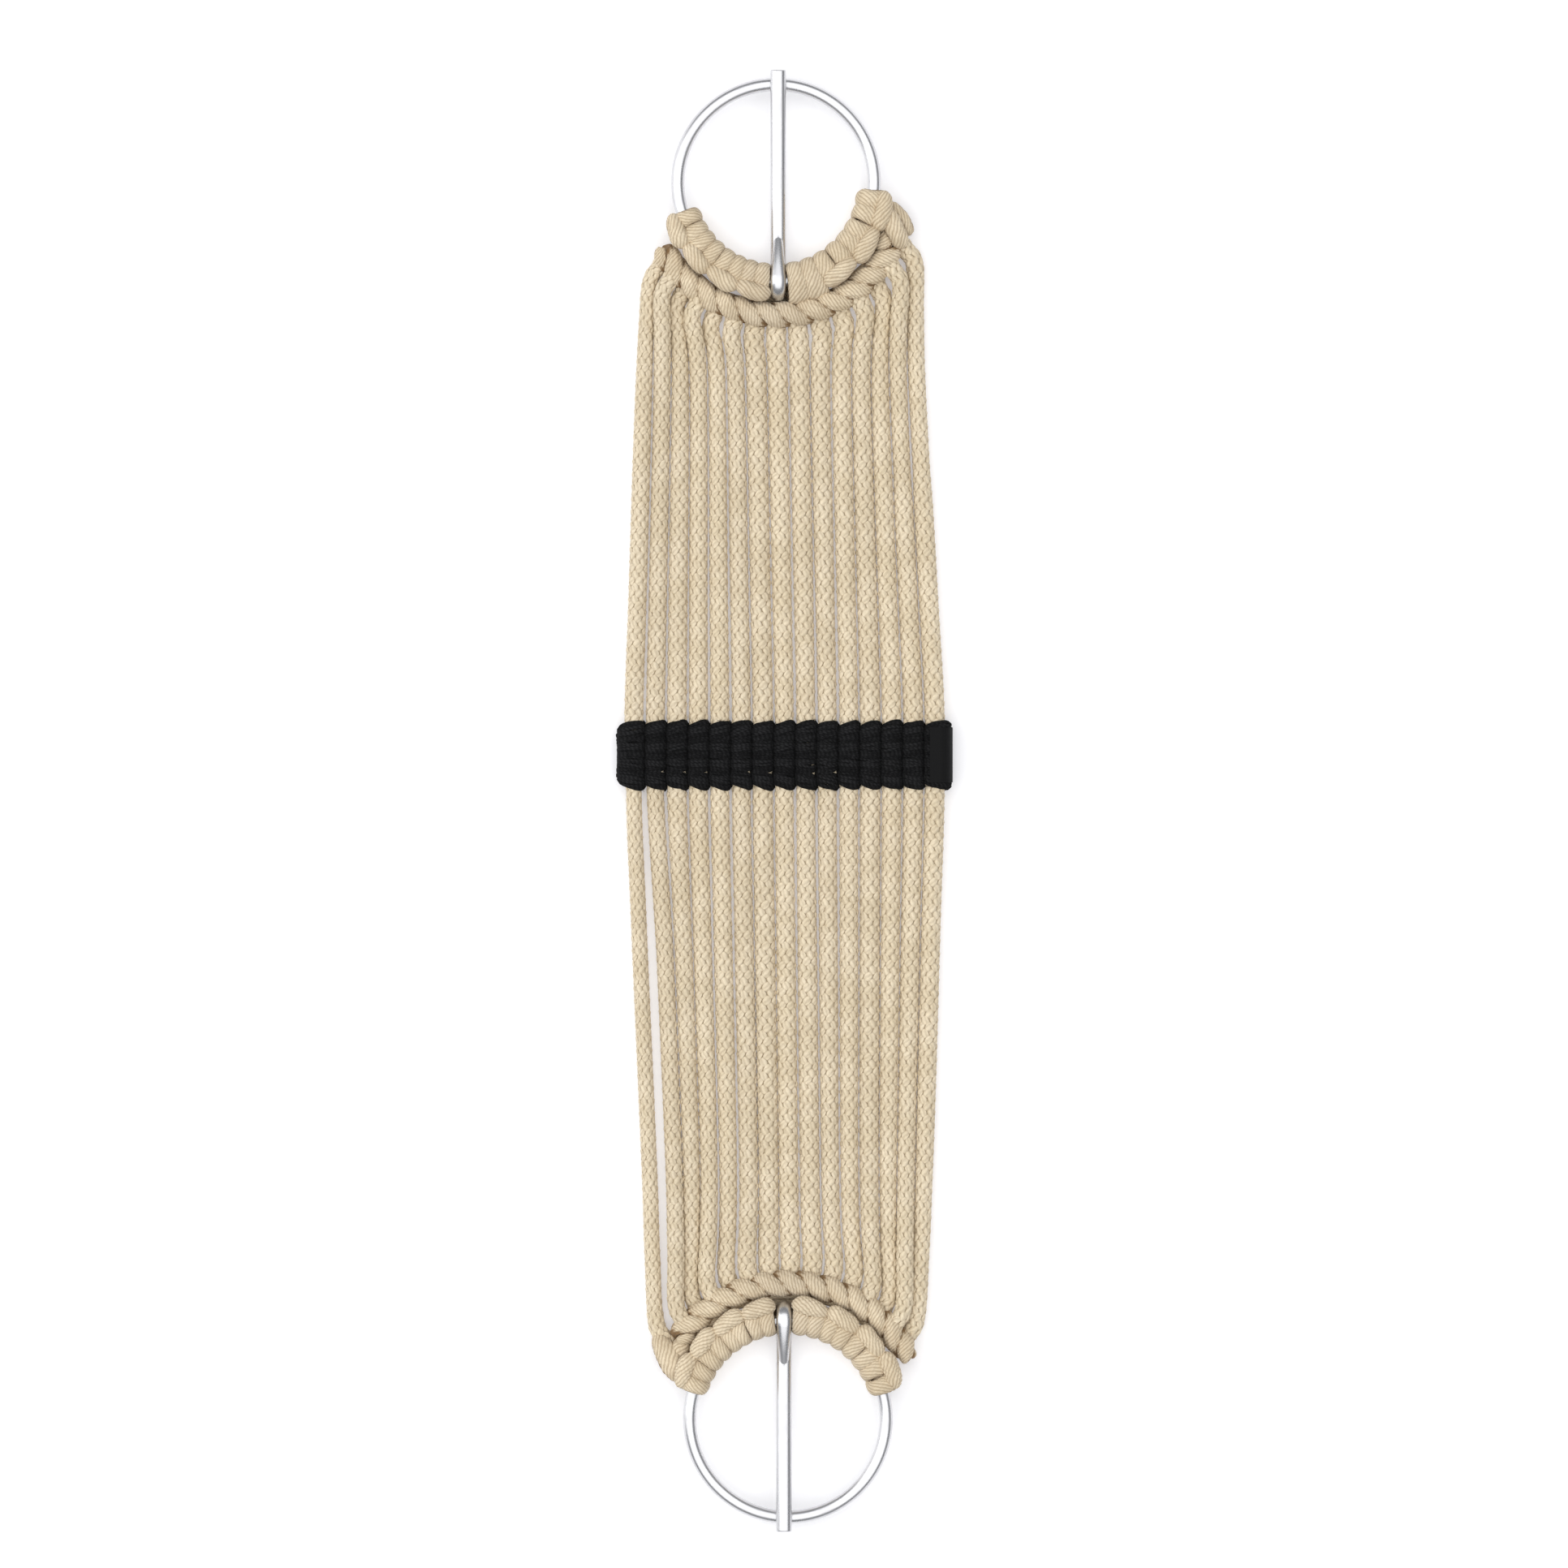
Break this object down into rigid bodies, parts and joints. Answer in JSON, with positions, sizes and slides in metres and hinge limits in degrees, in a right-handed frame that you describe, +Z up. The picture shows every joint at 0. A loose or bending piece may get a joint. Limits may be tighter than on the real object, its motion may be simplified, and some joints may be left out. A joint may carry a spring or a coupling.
{
  "type": "string cinch girth",
  "caption": "Western saddle cinch: braided natural cords laid side by side between two nickel buckle rings with hooked tongues, held apart by a black twined crossbar.",
  "frame": {"origin": "under the middle of the cinch laid flat, on the surface it rests on", "axes": "+Y along the cords towards the upper ring, +X across the cords towards the edge with the tab, +Z up off the surface"},
  "size_m": [0.1278, 0.557, 0.0158],
  "materials": {
    "braided_cord": "braided natural cotton cord, matt",
    "lashing_cord": "twisted natural cotton cord, matt",
    "black_yarn": "twined black yarn, slightly glossy",
    "black_tab": "plain woven black ribbon, satin",
    "nickel_ring": "polished nickel plate on steel",
    "nickel_tongue": "polished nickel plate on steel"
  },
  "bodies": {
    "panel": {"cord_01": "braided_cord", "cord_02": "braided_cord", "cord_03": "braided_cord", "cord_04": "braided_cord", "cord_05": "braided_cord", "cord_06": "braided_cord", "cord_07": "braided_cord", "cord_08": "braided_cord", "cord_09": "braided_cord", "cord_10": "braided_cord", "cord_11": "braided_cord", "cord_12": "braided_cord", "cord_13": "braided_cord", "cord_14": "braided_cord", "cord_15": "braided_cord", "upper_hitch_1": "lashing_cord", "upper_hitch_2": "lashing_cord", "upper_hitch_3": "lashing_cord", "upper_hitch_4": "lashing_cord", "upper_hitch_5": "lashing_cord", "upper_hitch_6": "lashing_cord", "upper_hitch_7": "lashing_cord", "upper_hitch_8": "lashing_cord", "upper_twine": "lashing_cord", "lower_hitch_1": "lashing_cord", "lower_hitch_2": "lashing_cord", "lower_hitch_3": "lashing_cord", "lower_hitch_4": "lashing_cord", "lower_hitch_5": "lashing_cord", "lower_hitch_6": "lashing_cord", "lower_hitch_7": "lashing_cord", "lower_hitch_8": "lashing_cord", "lower_twine": "lashing_cord", "crossbar": "black_yarn", "edge_tab": "black_tab"},
    "upper_ring": {"upper_ring": "nickel_ring"},
    "upper_tongue": {"upper_tongue": "nickel_tongue"},
    "lower_ring": {"lower_ring": "nickel_ring"},
    "lower_tongue": {"lower_tongue": "nickel_tongue"}
  },
  "joints": [
    {"name": "upper_ring_turn", "type": "hinge", "parent": "panel", "child": "upper_ring", "pos_m": [-0.0036, 0.2358, 0.0078], "axis": [0, 0, 1], "continuous": true},
    {"name": "upper_tongue_pivot", "type": "hinge", "parent": "panel", "child": "upper_tongue", "pos_m": [-0.0028, 0.1983, 0.0078], "axis": [1, 0, 0], "range_deg": [0, 135]},
    {"name": "lower_ring_turn", "type": "hinge", "parent": "panel", "child": "lower_ring", "pos_m": [0.0009, -0.2358, 0.0078], "axis": [0, 0, 1], "continuous": true},
    {"name": "lower_tongue_pivot", "type": "hinge", "parent": "panel", "child": "lower_tongue", "pos_m": [-0.0006, -0.1983, 0.0078], "axis": [-1, 0, 0], "range_deg": [0, 135]}
  ]
}
